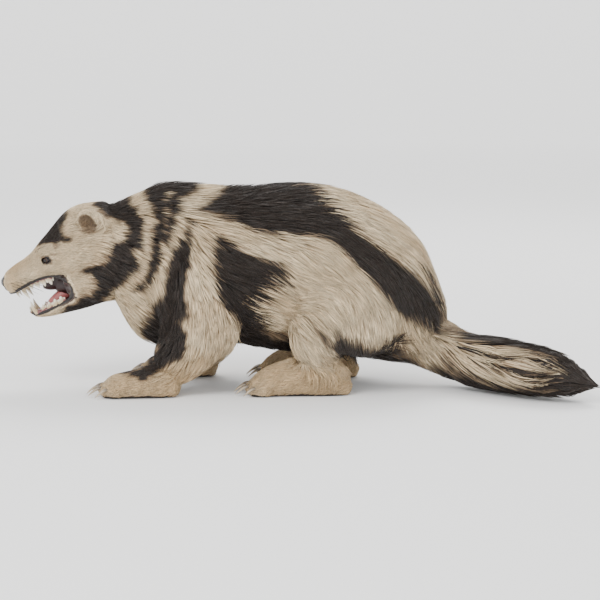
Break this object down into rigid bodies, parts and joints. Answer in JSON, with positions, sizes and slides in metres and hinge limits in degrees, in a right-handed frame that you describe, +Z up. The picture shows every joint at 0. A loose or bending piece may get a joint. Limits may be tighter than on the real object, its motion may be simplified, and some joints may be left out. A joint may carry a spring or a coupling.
{
  "type": "wolverine model",
  "caption": "Life-size wolverine stalking low with an arched back, its mouth open in a snarl and its bushy tail trailing on the ground.",
  "frame": {"origin": "middle of the model's underside, on the floor that the feet stand on", "axes": "+Z up; the animal faces -X and its left side is towards -Y"},
  "size_m": [0.9468, 0.334, 0.3386],
  "materials": {
    "pale_coat": "buff fur",
    "dark_coat": "dark brown fur",
    "nose_skin": "damp dark skin",
    "tongue": "moist pink",
    "eye": "wet dark brown"
  },
  "bodies": {
    "root": {"head": "pale_coat", "lower_jaw": "pale_coat", "nose": "nose_skin", "tongue": "tongue", "eye_left": "eye", "eye_right": "eye", "ear_left": "pale_coat", "ear_right": "pale_coat", "neck": "dark_coat", "torso": "dark_coat", "tail": "dark_coat", "front_leg_left": "pale_coat", "front_leg_right": "pale_coat", "front_paw_left": "pale_coat", "front_paw_right": "pale_coat", "hind_leg_left": "pale_coat", "hind_leg_right": "pale_coat", "hind_paw_left": "pale_coat", "hind_paw_right": "pale_coat"}
  },
  "joints": []
}
